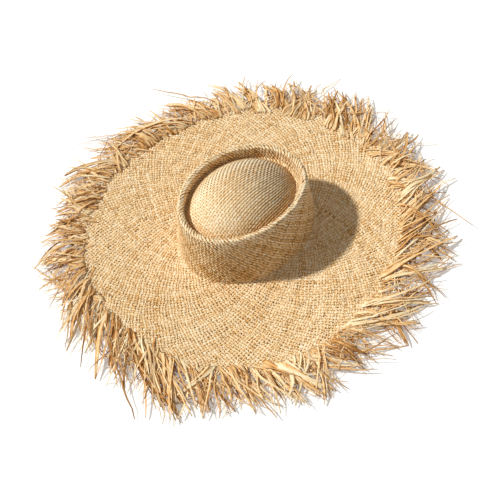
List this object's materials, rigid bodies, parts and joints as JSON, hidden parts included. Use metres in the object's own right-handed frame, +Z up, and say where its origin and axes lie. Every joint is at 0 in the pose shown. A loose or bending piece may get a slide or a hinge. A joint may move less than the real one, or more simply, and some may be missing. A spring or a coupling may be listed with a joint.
{
  "type": "straw sun hat",
  "caption": "Wide-brimmed woven raffia sun hat with an oval telescope crown, a raised dome inside a rolled rim, and a long frayed fringe round the brim.",
  "frame": {"origin": "centre of the head opening, on the plane that the brim rests on", "axes": "+Z up through the crown; the wearer faces -Y; the long axis of the head runs along Y"},
  "size_m": [0.5802, 0.6055, 0.102],
  "materials": {
    "raffia_weave": "natural plain-woven raffia, dry and softly sheened",
    "raffia_fringe": "loose frayed raffia ends, mixed pale straw and orange brown",
    "straw_thread": "straw-coloured sewing thread",
    "cotton_tape": "ribbed cotton grosgrain tape, natural colour",
    "cotton_thread": "cotton sewing thread",
    "tab_cloth": "blank woven tape, off white"
  },
  "bodies": {
    "root": {"crown_tip_dome": "raffia_weave", "crown_channel": "raffia_weave", "crown_rolled_rim": "raffia_weave", "crown_side_wall": "raffia_weave", "crown_break": "raffia_weave", "brim": "raffia_weave", "fringe_tuft_01": "raffia_fringe", "fringe_tuft_02": "raffia_fringe", "fringe_tuft_03": "raffia_fringe", "fringe_tuft_04": "raffia_fringe", "fringe_tuft_05": "raffia_fringe", "fringe_tuft_06": "raffia_fringe", "fringe_tuft_07": "raffia_fringe", "fringe_tuft_08": "raffia_fringe", "fringe_tuft_09": "raffia_fringe", "fringe_tuft_10": "raffia_fringe", "fringe_tuft_11": "raffia_fringe", "fringe_tuft_12": "raffia_fringe", "fringe_tuft_13": "raffia_fringe", "fringe_tuft_14": "raffia_fringe", "fringe_tuft_15": "raffia_fringe", "fringe_tuft_16": "raffia_fringe", "fringe_tuft_17": "raffia_fringe", "fringe_tuft_18": "raffia_fringe", "fringe_tuft_19": "raffia_fringe", "fringe_tuft_20": "raffia_fringe", "fringe_tuft_21": "raffia_fringe", "fringe_tuft_22": "raffia_fringe", "fringe_tuft_23": "raffia_fringe", "fringe_tuft_24": "raffia_fringe", "fringe_tuft_25": "raffia_fringe", "fringe_tuft_26": "raffia_fringe", "fringe_tuft_27": "raffia_fringe", "fringe_tuft_28": "raffia_fringe", "fringe_tuft_29": "raffia_fringe", "fringe_tuft_30": "raffia_fringe", "fringe_tuft_31": "raffia_fringe", "fringe_tuft_32": "raffia_fringe", "fringe_tuft_33": "raffia_fringe", "fringe_tuft_34": "raffia_fringe", "fringe_tuft_35": "raffia_fringe", "fringe_tuft_36": "raffia_fringe", "brim_edge_stitches": "straw_thread", "sweatband": "cotton_tape", "sweatband_back_seam": "cotton_tape", "sweatband_stitches": "cotton_thread", "size_tab": "tab_cloth"}
  },
  "joints": []
}
